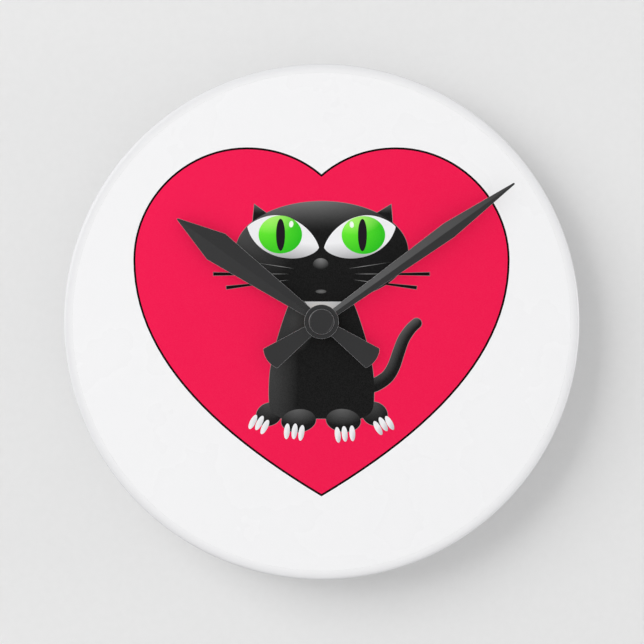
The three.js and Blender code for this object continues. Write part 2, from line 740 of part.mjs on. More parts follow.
const PIECES = [
  ["acrylic_dial", acrylicDial, WHITE_ACRYLIC],
  ["printed_face", printedFace, PRINT_WHITE],
  ["rubber_washer", () => ring(RUBBER_RADIUS, DIAL_BORE, RUBBER), RUBBER_BLACK],
  ["brass_washer", () => ring(WASHER_RADIUS, BUSHING.radius + GAP, WASHER), BRASS],
  ["hex_nut", hexNut, BRASS],
  ["threaded_bushing", threadedBushing, BRASS],
  ["hour_hand", () => clockHand(HOUR_HAND, HOUR_HUB), HAND_BLACK],
  ["minute_hand", () => clockHand(MINUTE_HAND, MINUTE_HUB), HAND_BLACK],
  ["minute_cap", minuteCap, HAND_BLACK],
  ["movement_case", movementCase, CASE_BLACK],
  ["movement_cover", movementCover, CASE_BLACK],
  ["hanger", hanger, CASE_BLACK],
  ["train_bridge", trainBridge, NYLON],
  ["rotor_pinion", rotorPinion, NYLON],
  ["rotor_magnet", rotorMagnet, MAGNET_GREY],
  ["intermediate_wheel", intermediateWheel, NYLON],
  ["seconds_wheel", secondsWheel, NYLON],
  ["third_wheel", thirdWheel, NYLON],
  ["centre_wheel", centreWheel, NYLON],
  ["minute_arbor", minuteArbor, BRASS],
  ["motion_wheel", motionWheel, NYLON],
  ["hour_wheel", hourWheel, NYLON],
  ["setting_knob", settingKnob, NYLON],
  ["stator_core", statorCore, SILICON_STEEL],
  ["coil_bobbin", coilBobbin, NYLON],
  ["coil_winding", coilWinding, COPPER],
  ["circuit_board", circuitBoard, BOARD_GREEN],
  ["circuit_chip", circuitChip, EPOXY_BLACK],
  ["quartz_crystal", quartzCrystal, STEEL],
  ["battery_cell", batteryCell, STEEL],
  ["battery_sleeve", batterySleeve, SLEEVE_BLUE],
  ["contact_positive", contactPositive, STEEL],
  ["contact_negative", contactNegative, STEEL],
  ["contact_spring", contactSpring, STEEL],
];

const clock = new THREE.Group();
clock.rotation.x = Math.PI / 2;
for (const [name, make, material] of PIECES) {
  const mesh = new THREE.Mesh(geometryOf(make()), material);
  mesh.name = name;
  clock.add(mesh);
}

export default clock;
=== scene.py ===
"""Looks for a round acrylic wall clock with a printed cat and heart, built on its CAD frame.

Shapes are given in a dial frame in millimetres: x to the viewer's right, z up the dial, and depth
counted from the wall towards the viewer. World space is metres, with the dial facing -Y.
"""
import json
import math

import bmesh
import bpy
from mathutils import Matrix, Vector

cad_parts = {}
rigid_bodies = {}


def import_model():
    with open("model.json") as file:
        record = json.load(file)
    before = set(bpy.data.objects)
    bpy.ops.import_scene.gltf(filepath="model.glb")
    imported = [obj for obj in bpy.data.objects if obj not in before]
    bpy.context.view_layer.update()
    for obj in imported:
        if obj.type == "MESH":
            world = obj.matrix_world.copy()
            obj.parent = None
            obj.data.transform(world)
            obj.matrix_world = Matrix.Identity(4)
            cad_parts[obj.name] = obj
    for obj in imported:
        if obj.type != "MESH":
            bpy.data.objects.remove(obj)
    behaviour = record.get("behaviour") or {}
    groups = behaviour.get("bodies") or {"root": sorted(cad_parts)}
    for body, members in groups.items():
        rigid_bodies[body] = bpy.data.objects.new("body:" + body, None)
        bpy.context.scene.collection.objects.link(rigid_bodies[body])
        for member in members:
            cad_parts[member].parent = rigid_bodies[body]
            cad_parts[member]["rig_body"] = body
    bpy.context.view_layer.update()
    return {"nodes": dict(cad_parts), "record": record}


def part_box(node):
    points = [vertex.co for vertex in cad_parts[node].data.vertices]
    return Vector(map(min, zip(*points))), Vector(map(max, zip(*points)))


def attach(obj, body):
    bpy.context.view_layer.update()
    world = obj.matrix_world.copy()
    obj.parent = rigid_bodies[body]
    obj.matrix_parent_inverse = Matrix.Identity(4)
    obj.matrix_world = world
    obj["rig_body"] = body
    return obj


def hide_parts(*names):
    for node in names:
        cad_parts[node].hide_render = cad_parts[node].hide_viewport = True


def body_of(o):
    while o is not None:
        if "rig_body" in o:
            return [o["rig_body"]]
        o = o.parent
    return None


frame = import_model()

MM = 0.001
TAU = 2 * math.pi
SLOTS = {entry["node"]: entry["material_slot"] for entry in frame["record"]["subparts"]}


def extent(node):
    """A node's lowest and highest x, z and depth."""
    (x0, y0, z0), (x1, y1, z1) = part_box(node)
    return (x0 / MM, x1 / MM), (z0 / MM, z1 / MM), (-y1 / MM, -y0 / MM)


def middle(span):
    return (span[0] + span[1]) / 2


# ---- Materials ----------------------------------------------------------------------------------

SHAPE_MAP = "shape"


def srgb(code):
    """Linear RGBA from a hexadecimal sRGB colour."""
    parts = [int(code[i:i + 2], 16) / 255 for i in (0, 2, 4)]
    linear = [c / 12.92 if c <= 0.04045 else ((c + 0.055) / 1.055) ** 2.4 for c in parts]
    return (*linear, 1.0)


def shaded(color, factor):
    return (*(min(1.0, c * factor) for c in color[:3]), 1.0)


class Finish:
    """One principled material, with helpers that add its procedural detail."""

    def __init__(self, name, roughness, metallic=0.0, specular=0.5, coat=0.0):
        self.material = bpy.data.materials.new(name)
        self.material.use_nodes = True
        self.tree = self.material.node_tree
        self.shader = self.tree.nodes["Principled BSDF"]
        self.shader.inputs["Metallic"].default_value = metallic
        self.shader.inputs["Specular IOR Level"].default_value = specular
        self.shader.inputs["Coat Weight"].default_value = coat
        self.shader.inputs["Coat Roughness"].default_value = 0.06
        self.roughness = roughness
        self.place = self.node("ShaderNodeTexCoord").outputs["Object"]

    def node(self, kind, **settings):
        made = self.tree.nodes.new(kind)
        for key, value in settings.items():
            setattr(made, key, value)
        return made

    def feed(self, socket, value):
        """Links a socket to another, or sets it to a constant."""
        if isinstance(value, bpy.types.NodeSocket):
            self.tree.links.new(value, socket)
        else:
            socket.default_value = value

    def noise(self, scale, detail=3.0, stretch=(1, 1, 1)):
        """Noise with about scale grains a metre, drawn tighter along the stretched axes."""
        mapping = self.node("ShaderNodeMapping")
        self.feed(mapping.inputs["Vector"], self.place)
        mapping.inputs["Scale"].default_value = stretch
        noise = self.node("ShaderNodeTexNoise")
        self.feed(noise.inputs["Vector"], mapping.outputs["Vector"])
        noise.inputs["Scale"].default_value = scale
        noise.inputs["Detail"].default_value = detail
        return noise.outputs["Fac"]

    def remap(self, value, low, high, start=0.35, stop=0.65):
        """From low to high as the value goes from start to stop, by default a noise's own range."""
        node = self.node("ShaderNodeMapRange")
        self.feed(node.inputs["Value"], value)
        node.inputs["From Min"].default_value = start
        node.inputs["From Max"].default_value = stop
        node.inputs["To Min"].default_value = low
        node.inputs["To Max"].default_value = high
        return node.outputs["Result"]

    def mixed(self, factor, first, second):
        node = self.node("ShaderNodeMix", data_type="RGBA")
        self.feed(node.inputs["Factor"], factor)
        self.feed(node.inputs["A"], first)
        self.feed(node.inputs["B"], second)
        return node.outputs["Result"]

    def spot(self, vector, center, radii):
        """A soft spot: 1 at its centre, falling evenly to 0 at its radii."""
        mapping = self.node("ShaderNodeMapping", vector_type="TEXTURE")
        self.feed(mapping.inputs["Vector"], vector)
        mapping.inputs["Location"].default_value = center
        mapping.inputs["Scale"].default_value = radii
        gradient = self.node("ShaderNodeTexGradient", gradient_type="SPHERICAL")
        self.feed(gradient.inputs["Vector"], mapping.outputs["Vector"])
        return gradient.outputs["Fac"]

    def glow(self, center, radii, power):
        """A soft spot on a print shape's own map, raised to a power."""
        source = self.node("ShaderNodeUVMap", uv_map=SHAPE_MAP)
        spot = self.spot(source.outputs["UV"], (*center, 0), (*radii, 1))
        raised = self.node("ShaderNodeMath", operation="POWER")
        self.feed(raised.inputs[0], spot)
        raised.inputs[1].default_value = power
        return raised.outputs["Value"]

    def color(self, base, speckle=1500, amount=0.05):
        """Sets the base colour, with fine light and dark speckle over it."""
        if isinstance(base, bpy.types.NodeSocket):
            dark = self.mixed(amount, base, (0, 0, 0, 1))
            light = self.mixed(amount, base, (1, 1, 1, 1))
        else:
            dark, light = shaded(base, 1 - amount), shaded(base, 1 + amount)
        grain = self.remap(self.noise(speckle), 0, 1)
        self.feed(self.shader.inputs["Base Color"], self.mixed(grain, dark, light))
        return self

    def sheen_patches(self, scale=60, spread=0.05):
        """Lets the roughness drift over the surface, as handling and moulding leave it."""
        drift = self.remap(self.noise(scale, 4), self.roughness - spread, self.roughness + spread)
        self.feed(self.shader.inputs["Roughness"], drift)
        return self

    def bump(self, height, depth, strength=1.0):
        """Raises the surface by height, a socket from 0 to 1, times depth in millimetres."""
        node = self.node("ShaderNodeBump")
        node.inputs["Strength"].default_value = strength
        node.inputs["Distance"].default_value = depth * MM
        self.feed(node.inputs["Height"], height)
        self.feed(self.shader.inputs["Normal"], node.outputs["Normal"])
        return self


def plain(name, code, roughness, amount=0.05, grain=2500, depth=0.01, metallic=0.0):
    """A moulded, painted or machined surface with speckle, roughness drift and a fine bump."""
    finish = Finish(name, roughness, metallic)
    finish.color(srgb(code), amount=amount).sheen_patches()
    return finish.bump(finish.noise(grain), depth).material


def brushed(name, code, roughness, stretch):
    """Metal with fine lines across the axis that has the greatest stretch."""
    finish = Finish(name, roughness, metallic=1.0)
    finish.color(srgb(code), 900, 0.08)
    lines = finish.noise(500, 2, stretch)
    finish.feed(
        finish.shader.inputs["Roughness"],
        finish.remap(lines, roughness - 0.08, roughness + 0.1),
    )
    return finish.bump(lines, 0.01, 0.6).material


def ink(name, base, spots=()):
    """Printed ink. Each spot is (colour, centre, radii, power) on the shape's own map."""
    finish = Finish(name, roughness=0.35, specular=0.05)
    color = srgb(base)
    for code, center, radii, power in spots:
        color = finish.mixed(finish.glow(center, radii, power), color, srgb(code))
    finish.color(color, 4200, 0.012).sheen_patches(25, 0.05)
    return finish.bump(finish.noise(1400, 2), 0.004).material


# ---- Mesh helpers -------------------------------------------------------------------------------

def edited(mesh, change):
    """The mesh, after a change made to it as a bmesh."""
    bm = bmesh.new()
    bm.from_mesh(mesh)
    change(bm)
    bm.to_mesh(mesh)
    bm.free()
    return mesh


def face_outwards(bm):
    bmesh.ops.recalc_face_normals(bm, faces=bm.faces)


def solid(name, verts, faces):
    """A mesh from points in the dial frame, with its faces turned outwards."""
    mesh = bpy.data.meshes.new(name)
    mesh.from_pydata([(x * MM, -depth * MM, z * MM) for x, z, depth in verts], [], faces)
    return edited(mesh, face_outwards)


def placed(name, data):
    """A new object in the scene."""
    obj = bpy.data.objects.new(name, data)
    bpy.context.scene.collection.objects.link(obj)
    return obj


def piece(name, verts, faces, material, body, smooth=True):
    """A mesh object from points in the dial frame, riding on a body."""
    obj = placed(name, solid(name, verts, faces))
    obj.data.materials.append(material)
    if smooth:
        smooth_by_angle(obj)
    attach(obj, body)
    return obj


def stands_for(obj, node):
    """Hides a CAD node behind its finished piece."""
    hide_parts(node)
    return obj


def smooth_by_angle(obj, degrees=32):
    """Shades smooth, keeping edges sharper than the angle crisp."""

    def shade(bm):
        for face in bm.faces:
            face.smooth = True
        for edge in bm.edges:
            edge.smooth = edge.calc_face_angle(0) < math.radians(degrees)

    edited(obj.data, shade)


def bevelled(obj, width, edge_highlight_material=None, angle=30):
    """Rounds an object's sharp edges, in a material of their own if one is given: a lighter one,
    which paints a highlight along them.
    """
    modifier = obj.modifiers.new("edges", "BEVEL")
    modifier.width = width * MM
    modifier.segments = 2
    modifier.limit_method = "ANGLE"
    modifier.angle_limit = math.radians(angle)
    if edge_highlight_material:
        obj.data.materials.append(edge_highlight_material)
        modifier.material = 1
    return obj


def merge_doubles(bm):
    """Makes one point of those that meet on a turned solid's axis."""
    bmesh.ops.remove_doubles(bm, verts=bm.verts, dist=1e-7)
    bmesh.ops.dissolve_degenerate(bm, edges=bm.edges, dist=1e-8)
    face_outwards(bm)


def lathe(name, profile, material, body, center=(0, 0), segments=96, closed=True, axis="depth"):
    """A solid turned about an axis from (radius, along) points.

    The axis runs along the depth, through an (x, z) centre, or along x, through a (z, depth) one.
    A closed profile is the section of a ring. An open one starts and ends on the axis.
    """
    verts, faces = [], []
    for i in range(segments):
        turn = TAU * i / segments
        for radius, along in profile:
            across = center[0] + radius * math.sin(turn)
            up = center[1] + radius * math.cos(turn)
            verts.append((across, up, along) if axis == "depth" else (along, across, up))
    count = len(profile)
    spans = count if closed else count - 1
    for i in range(segments):
        here, there = i * count, ((i + 1) % segments) * count
        for j in range(spans):
            k = (j + 1) % count
            faces.append((here + j, here + k, there + k, there + j))
    obj = piece(name, verts, faces, material, body, smooth=False)
    edited(obj.data, merge_doubles)
    smooth_by_angle(obj)
    return obj


def prisms(outlines, back, front):
    """Points and faces of closed prisms on outlines in the dial plane."""
    verts, faces = [], []
    for outline in outlines:
        base, n = len(verts), len(outline)
        verts += [(x, z, front) for x, z in outline] + [(x, z, back) for x, z in outline]
        faces.append(tuple(range(base, base + n)))
        faces.append(tuple(range(base + 2 * n - 1, base + n - 1, -1)))
        for i in range(n):
            j = (i + 1) % n
            faces.append((base + i, base + n + i, base + n + j, base + j))
    return verts, faces


def joined(name, objects):
    """One object from several, keeping the first one's body."""
    with bpy.context.temp_override(active_object=objects[0], selected_editable_objects=objects):
        bpy.ops.object.join()
    objects[0].name = objects[0].data.name = name
    return objects[0]


def whole_faces(bm):
    """Makes one face of each flat side that was split into triangles."""
    bmesh.ops.remove_doubles(bm, verts=bm.verts, dist=2e-6)
    bmesh.ops.dissolve_limit(
        bm, angle_limit=math.radians(1), verts=bm.verts, edges=bm.edges,
        use_dissolve_boundaries=False,
    )


def refined(node, material, width, edge_highlight_material=None):
    """A copy of a CAD node with its flat faces made whole and its edges rounded."""
    source = frame["nodes"][node]
    obj = placed(f"{node}_shape", source.data.copy())
    obj.data.materials.clear()
    obj.data.materials.append(material)
    edited(obj.data, whole_faces)
    smooth_by_angle(obj)
    bevelled(obj, width, edge_highlight_material)
    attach(obj, body_of(source)[0])
    return stands_for(obj, node)


def engraved(obj, outlines, back, front):
    """Cuts outlines into an object between two depths, after its edges are rounded."""
    mesh = solid("cutter", *prisms(outlines, back, front))
    cutter = placed("cutter", mesh)
    cut = obj.modifiers.new("marks", "BOOLEAN")
    cut.operation = "DIFFERENCE"
    cut.solver = "EXACT"
    cut.object = cutter
    bpy.context.view_layer.update()
    finished = obj.evaluated_get(bpy.context.evaluated_depsgraph_get())
    result = bpy.data.meshes.new_from_object(finished)
    obj.modifiers.clear()
    obj.data = result
    bpy.data.objects.remove(cutter)
    bpy.data.meshes.remove(mesh)
    smooth_by_angle(obj)


# ---- Outlines -----------------------------------------------------------------------------------

def ellipse(x, z, across, up, turn=0.0, count=72):
    """An ellipse from its centre and half axes, turned anticlockwise."""
    c, s = math.cos(math.radians(turn)), math.sin(math.radians(turn))
    points = []
    for i in range(count):
        u, v = across * math.cos(TAU * i / count), up * math.sin(TAU * i / count)
        points.append((x + c * u - s * v, z + s * u + c * v))
    return points


def box_outline(x, z, half_x, half_z):
    """A rectangle from its centre and half sides."""
    corners = ((-1, -1), (1, -1), (1, 1), (-1, 1))
    return [(x + across * half_x, z + up * half_z) for across, up in corners]


def polar(x, z, radius, degrees):
    """A point at a radius and an angle, anticlockwise from the right, about a centre."""
    turn = math.radians(degrees)
    return x + radius * math.cos(turn), z + radius * math.sin(turn)


def arc(x, z, radius, start, stop, count=12):
    """Points on a circle between two angles in degrees, both ends included."""
    return [polar(x, z, radius, start + (stop - start) * i / count) for i in range(count + 1)]


def bezier(p0, p1, p2, p3, count=24):
    """Points along a cubic curve, without its last one."""
    points = []
    for i in range(count):
        t = i / count
        w = ((1 - t) ** 3, 3 * (1 - t) ** 2 * t, 3 * (1 - t) * t ** 2, t ** 3)
        points.append(tuple(sum(k * p[a] for k, p in zip(w, (p0, p1, p2, p3))) for a in (0, 1)))
    return points


def smooth_path(points, count=10):
    """A Catmull-Rom curve through the points."""
    last = len(points) - 1
    path = []
    for i in range(last):
        a, b, c, d = (points[min(max(i + k, 0), last)] for k in (-1, 0, 1, 2))
        for j in range(count):
            t = j / count
            path.append(tuple(
                0.5 * (
                    2 * b[k] + (c[k] - a[k]) * t
                    + (2 * a[k] - 5 * b[k] + 4 * c[k] - d[k]) * t ** 2
                    + (3 * b[k] - a[k] - 3 * c[k] + d[k]) * t ** 3
                )
                for k in (0, 1)
            ))
    return path + [tuple(points[-1])]


def mirrored(points):
    """The points on the other side of the dial's upright axis, in reverse order."""
    return [(-x, z) for x, z in reversed(points)]


def rounded(outline, radius, steps=4):
    """The outline with each real corner rounded."""
    slight = math.radians(25)  # a smaller turn is part of a curve
    softened = []
    for i, point in enumerate(outline):
        corner = Vector(point)
        before = Vector(outline[i - 1]) - corner
        after = Vector(outline[(i + 1) % len(outline)]) - corner
        if math.pi - before.angle(after) < slight:
            softened.append(tuple(point))
            continue
        reach = min(radius, before.length / 2, after.length / 2)
        start, end = corner + before.normalized() * reach, corner + after.normalized() * reach
        for k in range(steps + 1):
            t = k / steps
            softened.append(tuple(start * (1 - t) ** 2 + corner * 2 * t * (1 - t) + end * t ** 2))
    return softened


def grown(outline, by):
    """The outline moved outwards by a distance, square to itself."""
    area = sum(a[0] * b[1] - b[0] * a[1] for a, b in zip(outline, outline[1:] + outline[:1]))
    side = 1 if area > 0 else -1
    sharpest = 0.35  # holds back the reach of a sharp corner
    moved = []
    for i, (x, z) in enumerate(outline):
        before, after = outline[i - 1], outline[(i + 1) % len(outline)]
        n1 = Vector((z - before[1], before[0] - x)).normalized()
        n2 = Vector((after[1] - z, x - after[0])).normalized()
        normal = n1 + n2
        normal = normal / max(normal.length_squared / 2, sharpest)
        moved.append((x + side * by * normal.x, z + side * by * normal.y))
    return moved


def stroke_sides(path, halves):
    """The left and right sides of a stroke with a round far end, from its path and half widths."""
    left, right = [], []

    def station(x, z, along, half):
        left.append((x - along.y * half, z + along.x * half))
        right.append((x + along.y * half, z - along.x * half))

    for i, (x, z) in enumerate(path):
        a, b = path[max(i - 1, 0)], path[min(i + 1, len(path) - 1)]
        along = Vector((b[0] - a[0], b[1] - a[1])).normalized()
        station(x, z, along, halves[i])
    x, z = path[-1]
    steps = 8
    for k in range(1, steps + 1):
        turn = TAU / 4 * k / (steps + 0.2)  # the last one stops just short of a point
        beyond = halves[-1] * math.sin(turn)
        station(x + along.x * beyond, z + along.y * beyond, along, halves[-1] * math.cos(turn))
    return left, right


# ---- The print ----------------------------------------------------------------------------------
# Every shape of the print is its own thin layer of ink. Layers stack in the order they are laid.

FILM_FRONT = extent("printed_face")[2][1]
INK_STEP = 0.012  # from one layer's front to the next
INK_THICKNESS = INK_STEP * 0.9
HALO_LAYER = 3
HALO = 0.17  # the pale hairline round each black shape
HEART_LINE = 0.8  # the width of the heart's dark outline
INK_BLACK = "0e0e0e"
INK_GREY = "8b8688"
INK_WHITE = "f2f2f4"


def ink_layer(name, points, maps, outlines, layer, material):
    """A layer of ink on numbered points, each with its place on the shape's own map."""
    front, n = FILM_FRONT + INK_STEP * layer, len(points)
    verts = [(x, z, front) for x, z in points] + [(x, z, front - INK_THICKNESS) for x, z in points]
    faces, rim = [], {}
    for outline in outlines:
        faces.append(tuple(outline))
        faces.append(tuple(n + i for i in reversed(outline)))
        for i, j in zip(outline, outline[1:] + outline[:1]):
            if (j, i) in rim:
                del rim[(j, i)]
            else:
                rim[(i, j)] = (i, n + i, n + j, j)
    obj = piece(name, verts, faces + list(rim.values()), material, "clock", smooth=False)
    layer_map = obj.data.uv_layers.new(name=SHAPE_MAP)
    for loop in obj.data.loops:
        layer_map.data[loop.index].uv = maps[loop.vertex_index % n]


def ink_shape(name, outlines, layer, material):
    """A layer of ink in one or more outlines, each mapped from 0 to 1 over its own extent."""
    points, maps, rings = [], [], []
    for outline in outlines:
        xs, zs = [p[0] for p in outline], [p[1] for p in outline]
        low, size = (min(xs), min(zs)), (max(xs) - min(xs), max(zs) - min(zs))
        rings.append(list(range(len(points), len(points) + len(outline))))
        points += outline
        maps += [((x - low[0]) / size[0], (z - low[1]) / size[1]) for x, z in outline]
    ink_layer(name, points, maps, rings, layer, material)


def ink_stroke(name, left, right, layer, material):
    """A stroke of ink between two sides, mapped from 0 to 1 across it and along it."""
    count = len(left)
    maps = [(side, i / (count - 1)) for side in (0, 1) for i in range(count)]
    quads = [[i, count + i, count + i + 1, i + 1] for i in range(count - 1)]
    ink_layer(name, left + right, maps, quads, layer, material)


def heart_outline():
    """The heart, down its right side from the notch and up its left."""
    right = (
        bezier((0, 58.0), (2.4, 60.0), (12.3, 68.6), (29.4, 68.6))
        + bezier((29.4, 68.6), (54.0, 68.6), (74.0, 48.2), (74.0, 24.4))
        + bezier((74.0, 24.4), (74.0, -11.8), (45.1, -41.8), (0, -68.7))
    )
    return right + [(0, -68.7)] + mirrored(right)[:-1]


def cat_print():
    """A sitting black cat with green eyes, in simple curves."""
    halo = ink("ink_halo", INK_GREY)
    black = ink("ink_black", INK_BLACK)
    body_ink = ink("ink_cat_body", INK_BLACK, [
        ("3e3e3e", (0.02, 0.45), (0.26, 0.95), 0.9),
        ("404040", (0.24, 0.8), (0.2, 0.28), 0.8),
    ])
    head_ink = ink("ink_cat_head", INK_BLACK, [
        ("525252", (-0.05, 0.75), (0.42, 0.75), 1.0),
        ("8c8c8c", (0.35, 1.1), (1.0, 0.42), 1.7),
    ])
    tail_ink = ink("ink_cat_tail", INK_BLACK, [("606060", (-0.05, 0.95), (0.85, 1.2), 1.2)])
    paw_ink = ink("ink_cat_paw", INK_BLACK, [("606060", (0.45, 1.05), (0.75, 0.8), 1.1)])
    hind_ink = ink("ink_cat_hind_paw", INK_BLACK, [("464646", (0.4, 1.0), (0.75, 0.85), 1.0)])
    ear_ink = ink("ink_cat_ear", INK_BLACK, [("606060", (0.5, 1.05), (1.3, 0.5), 1.2)])
    claw_ink = ink("ink_claw", INK_WHITE, [("b4b4b8", (1.05, 0.1), (0.75, 0.85), 1.0)])
    sclera_ink = ink("ink_sclera", INK_WHITE, [("9c9c9e", (0.5, -0.05), (1.1, 0.42), 1.0)])
    iris_ink = ink("ink_iris", "1cbe18", [
        ("6cf430", (0.1, 0.7), (1.1, 1.0), 1.3),
        ("b8fa78", (0.28, 1.05), (0.7, 0.55), 1.0),
    ])
    pupil_ink = ink("ink_pupil", "201a22")
    shine_ink = ink("ink_shine", "c4f6ae", [("ffffff", (0.5, 0.5), (0.75, 0.75), 0.5)])
    nose_ink = ink("ink_nose", INK_BLACK, [("7c7c7c", (0.5, 0.92), (0.7, 0.85), 1.1)])
    mouth_ink = ink("ink_mouth", INK_BLACK, [("707070", (0.5, 0.5), (0.7, 0.8), 0.7)])
    collar_ink = ink("ink_collar", "d8d8da", [("b8b8ba", (1.05, 0.6), (0.4, 1.2), 1.0)])
    glint_ink = ink("ink_glint", "8c8c8c")

    def dark_shape(name, outlines, layer, material):
        ink_shape(f"{name}_halo", [grown(o, HALO) for o in outlines], HALO_LAYER, halo)
        ink_shape(name, outlines, layer, material)

    path = smooth_path([
        (17.5, -25.6), (21.5, -24.6), (25.8, -21.7), (28.4, -17.6),
        (30.4, -11.9), (32.3, -6.9), (35.0, -2.9), (37.4, -0.6),
    ])
    last = len(path) - 1
    sides = stroke_sides(path, [2.75 - 0.75 * i / last for i in range(last + 1)])
    whole = sides[1] + sides[0][::-1]
    ink_shape("print_tail_halo", [grown(whole, HALO)], HALO_LAYER, halo)
    ink_stroke("print_tail", *sides, 4, tail_ink)
    dark_shape("print_hind_paws", [
        ellipse(-20.6, -36.4, 5.2, 4.4, 25), ellipse(20.9, -36.2, 5.2, 4.5, -25),
    ], 4, hind_ink)

    side = [
        (10.3, 10.5), (13.4, 5.2), (17.7, -8.0), (20.2, -19.4), (20.6, -30.8), (19.4, -35.6),
        (15.5, -38.1),
    ]
    dark_shape("print_body", [smooth_path(side) + smooth_path(mirrored(side))], 5, body_ink)
    dark_shape("print_front_paws", [
        ellipse(-9.0, -38.9, 6.8, 4.5, 6), ellipse(8.6, -38.8, 6.8, 4.5, -6),
    ], 6, paw_ink)

    claws = [
        ellipse(x, z, 1.15, 3.1, turn, 32) for x, z, turn in (
            (-27.0, -39.4, -27), (-24.4, -39.8, -27), (-22.3, -41.4, -27),
            (-13.6, -43.1, -5), (-10.6, -43.1, -7), (-7.9, -43.7, -9),
            (6.4, -44.5, 7), (9.1, -44.1, 6), (12.1, -43.9, 4),
            (22.2, -41.8, 30), (24.3, -40.3, 30), (26.8, -39.8, 30),
        )
    ]
    ink_shape("print_claws", claws, 7, claw_ink)

    ears = [
        [(21.0, 42.3), (27.4, 46.2), (28.0, 38.2)],
        [(-21.0, 42.3), (-26.4, 46.2), (-27.2, 38.2)],
    ]
    dark_shape("print_ears", ears, 4, ear_ink)
    dark_shape("print_head", [ellipse(0.17, 27.75, 33.87, 19.6, 0, 144)], 7, head_ink)
    ink_shape("print_collar", [[(-6.7, 7.93), (7.9, 7.93), (1.1, 0.1), (0.1, 0.1)]], 8, collar_ink)

    eye = (
        bezier((1.0, 29.2), (2.9, 35.8), (10.5, 41.9), (18.2, 41.9))
        + bezier((18.2, 41.9), (23.2, 41.8), (28.0, 39.0), (29.2, 37.3))
        + bezier((29.2, 37.3), (27.6, 30.6), (21.0, 24.9), (11.4, 24.9))
        + bezier((11.4, 24.9), (6.6, 24.9), (1.8, 27.0), (1.0, 29.2))
    )
    ink_shape("print_sclerae", [mirrored(eye), eye], 8, sclera_ink)
    irises = [ellipse(-16.2, 34.3, 8.55, 7.45), ellipse(16.5, 34.1, 8.55, 7.45)]
    pupils = [ellipse(-16.1, 34.2, 1.75, 6.3), ellipse(16.1, 34.1, 1.75, 6.35)]
    shines = [ellipse(-11.9, 38.4, 0.85, 1.3, -8), ellipse(11.9, 38.2, 0.85, 1.3, 8)]
    ink_shape("print_irises", irises, 9, iris_ink)
    ink_shape("print_pupils", pupils, 10, pupil_ink)
    ink_shape("print_eye_shines", shines, 10, shine_ink)
    ink_shape("print_nose", [ellipse(-0.3, 22.6, 3.05, 2.4)], 8, nose_ink)
    ink_shape("print_mouth", [ellipse(-0.2, 11.9, 2.1, 0.75)], 8, mouth_ink)

    whisker_lines = ((12.9, 18.7), (42.5, 18.8)), ((12.8, 16.4), (37.4, 13.4))
    glint_lines = (
        ((10.6, 20.9), (27.0, 23.4)), ((12.6, 18.8), (29.5, 18.8)), ((12.6, 16.5), (25.5, 14.9)),
    )
    whisker_half, glint_half = 0.62, 0.12
    whiskers, glints = [], []
    for sign in (-1, 1):
        for (x0, z0), (x1, z1) in whisker_lines:
            along = Vector((x1 - x0, z1 - z0)).normalized() * whisker_half
            whiskers.append([
                (sign * x0, z0),
                (sign * (x1 + along.y), z1 - along.x),
                (sign * (x1 - along.y), z1 + along.x),
            ])
        for (x0, z0), (x1, z1) in glint_lines:
            a, b = Vector((sign * x0, z0)), Vector((sign * x1, z1))
            widest, half = a.lerp(b, 0.35), (b - a).normalized().orthogonal() * glint_half
            glints.append([tuple(p) for p in (a, widest + half, b, widest - half)])
    dark_shape("print_whiskers", whiskers, 11, black)
    ink_shape("print_whisker_glints", glints, 12, glint_ink)


def face_print():
    """The red heart with its dark outline, and the cat in front of it."""
    red = ink("ink_red", "f3124d", [("f71451", (0.1, 0.9), (0.9, 0.9), 1.0)])
    outline = ink("ink_heart_line", "0c0707")
    heart = heart_outline()
    ink_shape("print_heart_line", [heart], 1, outline)
    ink_shape("print_heart", [grown(heart, -HEART_LINE)], 2, red)
    cat_print()


# ---- Dial ---------------------------------------------------------------------------------------

BORE = 4.4
PLAY = 0.02  # between the film and its seat


def rounded_edge(inner, outer, top):
    """The section of the disc's edge, a quarter of a superellipse from its face to its side."""
    deep, fullness, steps = 2.4, 4.5, 18
    points = []
    for i in range(steps + 1):
        turn = TAU / 4 * i / steps
        out = math.sin(turn) ** (2 / fullness)
        fall = 1 - math.cos(turn) ** (2 / fullness)
        points.append((inner + (outer - inner) * out, top - deep * fall))
    return points


def dial():
    """The acrylic disc with its polished round edge, and the white film let into its face."""
    (_, radius), _, (back, _) = extent("acrylic_dial")
    (_, film_radius), _, (film_back, film_front) = extent("printed_face")
    acrylic = Finish("acrylic_white", 0.22, specular=0.25)
    reach = 0.2  # where the spot of painted shade on the disc's edge ends, in metres
    # From the film's edge outwards the disc's colour darkens to grey. This is painted shade for the
    # dimmer polished edge, not a colour of the acrylic.
    spot = acrylic.spot(acrylic.place, (0, 0, 0), (reach, 100, reach))
    painted_edge_shade = acrylic.remap(spot, 1, 0, 1 - radius * MM / reach, 1 - film_radius * MM / reach)
    white = acrylic.mixed(painted_edge_shade, srgb("f5f5f6"), srgb("e0e0e2"))
    acrylic.color(white, 30, 0.008).sheen_patches(40, 0.04)
    acrylic.bump(acrylic.noise(120, 2), 0.006)
    inner, seat = film_radius + PLAY, film_back - PLAY
    profile = [
        (BORE, seat), (inner, seat), *rounded_edge(inner, radius, film_front - PLAY),
        (radius, back + 0.6), (radius - 0.18, back + 0.18), (radius - 0.6, back), (BORE, back),
    ]
    disc = lathe("dial_disc", profile, acrylic.material, "clock", segments=288)
    stands_for(disc, "acrylic_dial")

    film = Finish("film_white", 0.28, specular=0.25)
    film.color(srgb("f6f6f7"), 4200, 0.006).sheen_patches(25, 0.05)
    film.bump(film.noise(1400, 2), 0.003)
    profile = [
        (BORE, film_back), (film_radius, film_back), (film_radius, film_front), (BORE, film_front),
    ]
    sheet = lathe("dial_film", profile, film.material, "clock", segments=288)
    stands_for(sheet, "printed_face")


# ---- Hands --------------------------------------------------------------------------------------

BLADE_EDGE = 0.3  # the blade's thickness along its sides
TAIL_THICKNESS = 0.9


